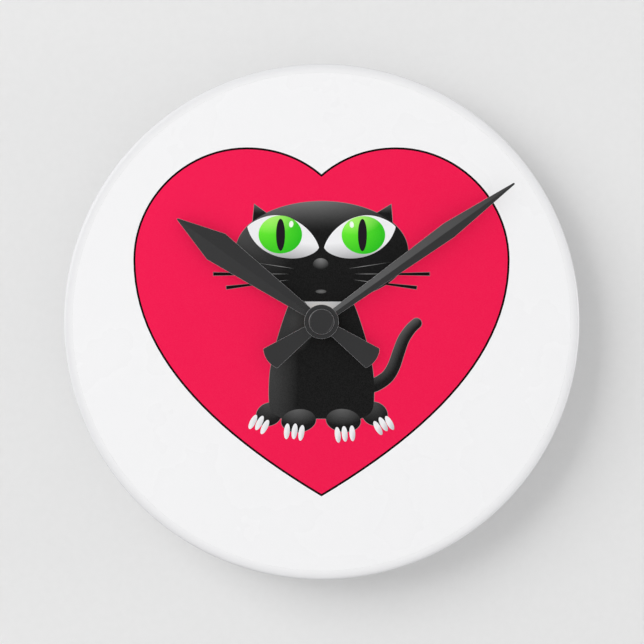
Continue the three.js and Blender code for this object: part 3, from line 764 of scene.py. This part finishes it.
def hand(node, body, angle, materials, tip, shoulder, half, root, hub, bore, ridge):
    """A ridged blade and a fan tail on a round hub.

    The angle runs clockwise from twelve, in degrees. The blade widens from a half width of root at
    its hub to half at its shoulder, and tapers from there to its tip.
    """
    # edge is the light grey copy of the plastic on the rounded edges, a painted highlight.
    face, edge = materials
    back, front = extent(node)[2]
    low, start = back + 0.2, hub * 0.5
    c, s = math.cos(math.radians(angle)), math.sin(math.radians(angle))

    def turned(points):
        return [(x * c + z * s, z * c - x * s, depth) for x, z, depth in points]

    blunt = 0.42  # the radius of the tip
    stations = [(start, root), (shoulder, half)]
    for turn in (0, 0.5, 1.0, 1.4):
        stations.append((tip - blunt + blunt * math.sin(turn), blunt * math.cos(turn)))
    verts = []
    for along, wide in stations:
        side = low + BLADE_EDGE
        crest = side + (ridge - BLADE_EDGE) * wide / half
        verts += [
            (-wide, along, low), (-wide, along, side), (0, along, crest),
            (wide, along, side), (wide, along, low),
        ]
    last = len(verts)
    faces = [(4, 3, 2, 1, 0), tuple(range(last - 5, last))]
    for r in range(0, last - 5, 5):
        for i in range(5):
            j = (i + 1) % 5
            faces.append((r + i, r + j, r + 5 + j, r + 5 + i))
    blade = piece(f"{node}_blade", turned(verts), faces, face, body, smooth=False)

    neck = 1.9  # half the width of the tail at the hub
    fan = [(neck, -start), *arc(0, -17.09, 8.91, -58.2, -121.8, 16), (-neck, -start)]
    verts, faces = prisms([rounded(fan, 0.5)], low, low + TAIL_THICKNESS)
    tail = piece(f"{node}_tail", turned(verts), faces, face, body, smooth=False)

    profile = [(bore, back), (hub, back), (hub, front), (bore, front)]
    ring = lathe(f"{node}_hub", profile, face, body)
    whole = joined(f"{node}_shape", [blade, tail, ring])
    smooth_by_angle(whole, 8)
    bevelled(whole, 0.15, edge, angle=40)
    whole.visible_shadow = False
    stands_for(whole, node)


def hand_plastic(name, code, roughness, specular):
    finish = Finish(name, roughness, specular=specular)
    finish.color(srgb(code), 1800, 0.06).sheen_patches(80, 0.03)
    return finish.bump(finish.noise(3200, 2), 0.004).material


def hands():
    """The two hands and the cap nut, which leave no shadow on the face in the soft light."""
    face = hand_plastic("hand_plastic", "1f1f20", 0.3, 0.5)
    # The hands' and cap's rounded edges take a light grey copy of the black plastic, which paints a
    # highlight along them.
    edge = hand_plastic("hand_plastic_edge_painted_highlight", "a2a2a4", 0.35, 0.6)
    hand("hour_hand", "hour", -54.5, (face, edge), tip=69.5, shoulder=50.7, half=6.2, root=1.6,
         hub=6.1, bore=2.75, ridge=1.35)
    hand("minute_hand", "minute", 54.35, (face, edge), tip=92.9, shoulder=61.4, half=3.4, root=1.5,
         hub=6.7, bore=1.75, ridge=1.5)
    back, front = extent("minute_cap")[2]
    dish = front - 0.1  # the cap's face, inside its raised rim
    profile = [
        (0, back), (5.0, back), (5.0, front - 0.28), (4.92, dish), (4.75, front), (4.35, front),
        (4.2, dish), (0, dish),
    ]
    cap = lathe("minute_cap_shape", profile, face, "minute", closed=False)
    bevelled(cap, 0.05, edge, angle=35)
    cap.visible_shadow = False
    stands_for(cap, "minute_cap")


# ---- Fixing, movement and battery ---------------------------------------------------------------

def soft_ring(node, outer, inner, edge, material):
    """A washer with rounded edges."""
    back, front = extent(node)[2]
    profile = []
    for radius, out in ((outer, 1), (inner, -1)):
        for level, up in ((front, 1), (back, -1))[::out]:
            for k in range(4):
                turn = TAU / 4 * (k if up * out > 0 else 3 - k) / 3
                inset = out * edge * (1 - math.sin(turn))
                profile.append((radius - inset, level - up * edge * (1 - math.cos(turn))))
    stands_for(lathe(f"{node}_shape", profile, material, "clock"), node)


def hex_nut(material):
    """A brass nut whose corners are turned down on both faces."""
    (low_x, high_x), (low_z, high_z), (back, front) = extent("hex_nut")
    apothem = min(high_x - low_x, high_z - low_z) / 2
    first_corner = 0 if high_z - low_z > high_x - low_x else TAU / 12
    flat_face, slope = apothem - 0.25, 0.58  # the cone starts there, and falls that steeply
    bore, lead_in, count = 4.1, 0.3, 72
    verts, faces = [], []
    for i in range(count):
        turn = TAU * i / count
        off_flat = (turn - first_corner) % (TAU / 6) - TAU / 12
        radius = apothem / math.cos(off_flat)
        fall = (radius - flat_face) * slope
        section = [
            (bore + lead_in, front), (flat_face, front), (radius, front - fall),
            (radius, back + fall), (flat_face, back), (bore + lead_in, back),
            (bore, back + lead_in), (bore, front - lead_in),
        ]
        verts += [(r * math.sin(turn), r * math.cos(turn), depth) for r, depth in section]
    n = len(section)
    for i in range(count):
        here, there = n * i, n * ((i + 1) % count)
        faces += [(here + j, here + (j + 1) % n, there + (j + 1) % n, there + j) for j in range(n)]
    stands_for(piece("hex_nut_shape", verts, faces, material, "clock"), "hex_nut")


def bushing(material):
    """A hollow shaft, with a flange inside the case and a thread through the dial."""
    back, front = extent("threaded_bushing")[2]
    bore, flange, soft = 2.75, 5.6, 0.15
    crest, root, pitch, chamfer = 4.0, 3.65, 0.75, 0.25
    ledge = back + 1.4
    profile = [
        (bore, back), (flange - soft, back), (flange, back + soft), (flange, ledge - soft),
        (flange - soft, ledge), (crest, ledge),
    ]
    depth = extent("movement_case")[2][1] + 0.4
    while depth + pitch < front - 0.2:
        profile += [
            (crest, depth), (crest, depth + 0.12 * pitch),
            (root, depth + 0.5 * pitch), (root, depth + 0.62 * pitch),
        ]
        depth += pitch
    profile += [(crest, depth), (crest, front - chamfer), (crest - chamfer, front), (bore, front)]
    stands_for(lathe("threaded_bushing_shape", profile, material, "clock"), "threaded_bushing")


def fixing():
    """The washers, nut and bushing between the dial and the hands."""
    brass = brushed("brass_turned", "c9a75c", 0.3, (1, 1, 30))
    rubber = plain("rubber_washer_black", "1a1a1a", 0.85, grain=900, depth=0.05)
    soft_ring("rubber_washer", extent("rubber_washer")[0][1], BORE, 0.2, rubber)
    soft_ring("brass_washer", extent("brass_washer")[0][1], 4.3, 0.12, brass)
    hex_nut(brass)
    bushing(brass)


def knob_center():
    return [middle(span) for span in extent("setting_knob")[:2]]


def cover_marks():
    """Turning arrows round the knob, the battery's plus and minus, and a blank label panel."""
    knob_x, knob_z = knob_center()
    marks = []
    for start in (35, 215):
        stop = start + 105
        head = (9.7, stop), (8.6, stop + 13), (7.5, stop)
        marks.append(
            arc(knob_x, knob_z, 8.9, start, stop)
            + [polar(knob_x, knob_z, radius, angle) for radius, angle in head]
            + arc(knob_x, knob_z, 8.3, stop, start)
        )
    plus = [(-0.3, 1.3), (-0.3, 0.3), (-1.3, 0.3), (-1.3, -0.3), (-0.3, -0.3), (-0.3, -1.3)]
    plus += [(-x, -z) for x, z in plus]
    sign_x, sign_z = 20.5, -8.9
    marks.append([(sign_x + x, sign_z + z) for x, z in plus])
    marks.append(box_outline(-sign_x, sign_z, 1.3, 0.3))
    marks.append(rounded(box_outline(0, -0.6, 22, 6), 1.0))
    return marks


def case_plastic(name, code, roughness, specular, spread, depth):
    finish = Finish(name, roughness, specular=specular)
    finish.color(srgb(code), 900, 0.1).sheen_patches(70, spread)
    return finish.bump(finish.noise(2600, 3), depth).material


def soft_bars(name, outlines, back, front, material, body, edge_highlight_material=None):
    """Raised bars with slightly rounded edges."""
    verts, faces = prisms(outlines, back, front)
    bars = piece(name, verts, faces, material, body, smooth=False)
    bevelled(bars, 0.12, edge_highlight_material)
    smooth_by_angle(bars)
    return bars


def movement():
    """The moulded case and cover, with their grip ribs, hanger and setting knob."""
    shell = case_plastic("case_abs", "232325", 0.5, 0.45, 0.08, 0.03)
    # The case's rounded edges take a lighter grey copy of its black plastic, which paints a
    # highlight along them.
    edge = case_plastic("case_abs_edge_painted_highlight", "3a3a3c", 0.38, 0.5, 0.06, 0.015)
    refined("movement_case", shell, 0.25, edge)
    refined("hanger", shell, 0.3, edge)
    engraved(refined("movement_cover", shell, 0.2, edge), cover_marks(), -0.5, 0.25)

    half = extent("movement_cover")[0][1]
    levels = [3.5 + 1.5 * k for k in range(7)]
    ribs = [box_outline(side * half, level, 0.35, 0.4) for side in (-1, 1) for level in levels]
    grip = soft_bars("case_grip_ribs", ribs, 3, 14, shell, "clock", edge)

    acetal = plain("acetal_white", "eceae4", 0.4, amount=0.03)
    refined("setting_knob", acetal, 0.12)
    outline = rounded(box_outline(*knob_center(), 4, 0.7), 0.5)
    bar = soft_bars("knob_grip_bar", [outline], 0.2, 0.7, acetal, "knob")


def battery_wrap():
    """A shrink sleeve: blue, with a silver band towards the cell's positive end."""
    finish = Finish("battery_wrap", 0.28, specular=0.5, coat=0.4)
    split = finish.node("ShaderNodeSeparateXYZ")
    finish.feed(split.inputs["Vector"], finish.place)
    band = finish.remap(split.outputs["X"], 0, 1, 0.0118, 0.012)
    finish.color(finish.mixed(band, srgb("1f4f86"), srgb("b9bec6")), 1200, 0.02)
    finish.sheen_patches(60, 0.05)
    return finish.bump(finish.noise(300, 2), 0.01).material


def contact_spring(center):
    """A tapering coil of wire about the cell's axis, which its flat end presses on."""
    steel = brushed("spring_nickel", "c3c5c8", 0.28, (1, 1, 25))
    turns, wire, steps, sides = 2.25, 0.25, 110, 10
    foot = extent("contact_spring")[0][0] + wire
    verts = []
    for i in range(steps + 1):
        t = i / steps
        swing, coil = TAU * turns * t, 4 - 2.4 * t
        for k in range(sides):
            radius = coil + wire * math.cos(TAU * k / sides)
            along = wire * math.sin(TAU * k / sides)
            verts.append((
                foot + 0.6 * t + along,
                center[0] + radius * math.sin(swing),
                center[1] - radius * math.cos(swing),
            ))
    faces = [tuple(range(sides)), tuple(range(steps * sides, (steps + 1) * sides))]
    for i in range(steps):
        here, there = i * sides, (i + 1) * sides
        for k in range(sides):
            j = (k + 1) % sides
            faces.append((here + k, here + j, there + j, there + k))
    stands_for(piece("contact_spring_shape", verts, faces, steel, "clock"), "contact_spring")


def battery():
    """An AA cell in a shrink wrap, with crimped ends, and the contact spring it presses on."""
    (left, right), upright, depths = extent("battery_cell")
    center = middle(upright), middle(depths)
    radius, can_end = (upright[1] - upright[0]) / 2, right - 1.3
    nickel = brushed("battery_nickel", "c6c8cb", 0.26, (25, 1, 1))
    profile = [
        (0, left + 0.12), (3.6, left + 0.12), (4.0, left), (5.6, left), (6.5, left + 0.3),
        (radius, left + 0.9), (radius, can_end - 0.9), (6.6, can_end - 0.3), (5.6, can_end),
        (3.3, can_end), (2.9, can_end + 0.2), (2.7, can_end + 0.5), (2.7, right - 0.25),
        (2.45, right), (0, right),
    ]
    cell = lathe("battery_cell_shape", profile, nickel, "battery", center, closed=False, axis="x")
    stands_for(cell, "battery_cell")
    start, stop = left + 0.3, can_end - 0.3
    profile = [
        (6.62, start), (6.8, start), (7.08, start + 0.25), (7.25, start + 0.6),
        (7.25, stop - 0.6), (7.08, stop - 0.25), (6.8, stop), (6.62, stop),
        (6.95, stop - 0.3), (7.1, stop - 0.6), (7.1, start + 0.6), (6.95, start + 0.3),
    ]
    sleeve = lathe("battery_sleeve_shape", profile, battery_wrap(), "battery", center, axis="x")
    stands_for(sleeve, "battery_sleeve")
    contact_spring(center)


def inner_parts():
    """Finishes for the CAD pieces that show as they are."""
    looks = {
        "gear_plastic": plain("acetal_natural", "e6e2d6", 0.45, amount=0.03),
        "brass": brushed("brass_inner", "c2a05a", 0.3, (1, 30, 1)),
        "core_steel": brushed("core_steel_stamped", "8d9196", 0.42, (1, 1, 20)),
        "magnet": plain("magnet_ground", "5a5b5f", 0.45, metallic=0.7),
        "copper_wire": brushed("copper_enamelled", "b0542c", 0.35, (1, 1, 60)),
        "board": plain("board_green", "1f5a38", 0.5),
        "epoxy": plain("epoxy_black", "121212", 0.3),
        "contact_steel": brushed("contact_nickel", "c3c5c8", 0.28, (1, 1, 25)),
    }
    for node, slot in SLOTS.items():
        if slot in looks:
            mesh = frame["nodes"][node].data
            mesh.materials.clear()
            mesh.materials.append(looks[slot])


# ---- Room, light and camera ---------------------------------------------------------------------

def stage_material(name, code, one_sided=False):
    """Matt paint, which can be made clear from behind."""
    finish = Finish(name, 0.95, specular=0.0)
    finish.color(srgb(code), 350, 0.006).sheen_patches(20, 0.04)
    finish.bump(finish.noise(700, 3), 0.02)
    if one_sided:
        side = finish.node("ShaderNodeNewGeometry")
        clear = finish.node("ShaderNodeBsdfTransparent")
        choice = finish.node("ShaderNodeMixShader")
        finish.feed(choice.inputs["Fac"], side.outputs["Backfacing"])
        finish.feed(choice.inputs[1], finish.shader.outputs["BSDF"])
        finish.feed(choice.inputs[2], clear.outputs["BSDF"])
        output = finish.tree.nodes["Material Output"]
        finish.feed(output.inputs["Surface"], choice.outputs["Shader"])
    return finish.material


def plane(name, corners, material):
    mesh = bpy.data.meshes.new(name)
    mesh.from_pydata(corners, [], [(0, 1, 2, 3)])
    mesh.materials.append(material)
    obj = placed(name, mesh)
    return obj


def room():
    """A pale wall just behind the clock, clear from its back, and a pale floor below."""
    wall_y, low, top, half, far = 0.0006, -0.42, 2.0, 2.4, 12
    corners = [(-half, wall_y, low), (half, wall_y, low), (half, wall_y, top), (-half, wall_y, top)]
    wall = plane("wall", corners, stage_material("wall_paint", "e9e9e9", one_sided=True))
    wall.visible_shadow = False
    wall.visible_diffuse = False
    wall.visible_glossy = False
    corners = [(-far, -far, low), (far, -far, low), (far, far, low), (-far, far, low)]
    plane("floor", corners, stage_material("floor_paint", "dcdcdc"))


def area_light(name, around, tilt, size, power, distance=4.0):
    """A square softbox aimed at the dial.

    It stands tilt degrees off the dial's axis, on the side given by around, in degrees
    anticlockwise from the viewer's right.
    """
    light = bpy.data.lights.new(name, "AREA")
    light.size = size
    light.energy = power
    obj = placed(name, light)
    around, tilt = math.radians(around), math.radians(tilt)
    side = math.sin(tilt) * distance
    away = Vector((side * math.cos(around), -math.cos(tilt) * distance, side * math.sin(around)))
    target = Vector((0, -0.02, 0))
    obj.location = target + away
    obj.rotation_euler = (-away).to_track_quat("-Z", "Y").to_euler()
    obj.visible_camera = False


def lights():
    """Soft light from the upper left, in an even pale room, with a grazing fill from the right."""
    area_light("key", 150, 35, 1.0, 8)
    area_light("key_wide", 150, 50, 3.2, 87)
    area_light("fill", 0, 86, 0.6, 14, distance=2.0)
    world = bpy.data.worlds.new("studio")
    bpy.context.scene.world = world
    world.use_nodes = True
    background = world.node_tree.nodes["Background"]
    background.inputs["Color"].default_value = (1, 1, 1, 1)
    background.inputs["Strength"].default_value = 0.587


def camera():
    """A long lens, square on to the dial."""
    data = bpy.data.cameras.new("camera")
    data.lens = 150
    data.sensor_width = 36
    obj = placed("camera", data)
    obj.location = (0.0002, -1.0773, -0.0001)
    obj.rotation_euler = (TAU / 4, 0, 0)
    bpy.context.scene.camera = obj


dial()
face_print()
hands()
fixing()
inner_parts()
movement()
battery()
room()
lights()
camera()
bpy.context.scene.view_settings.view_transform = "Standard"
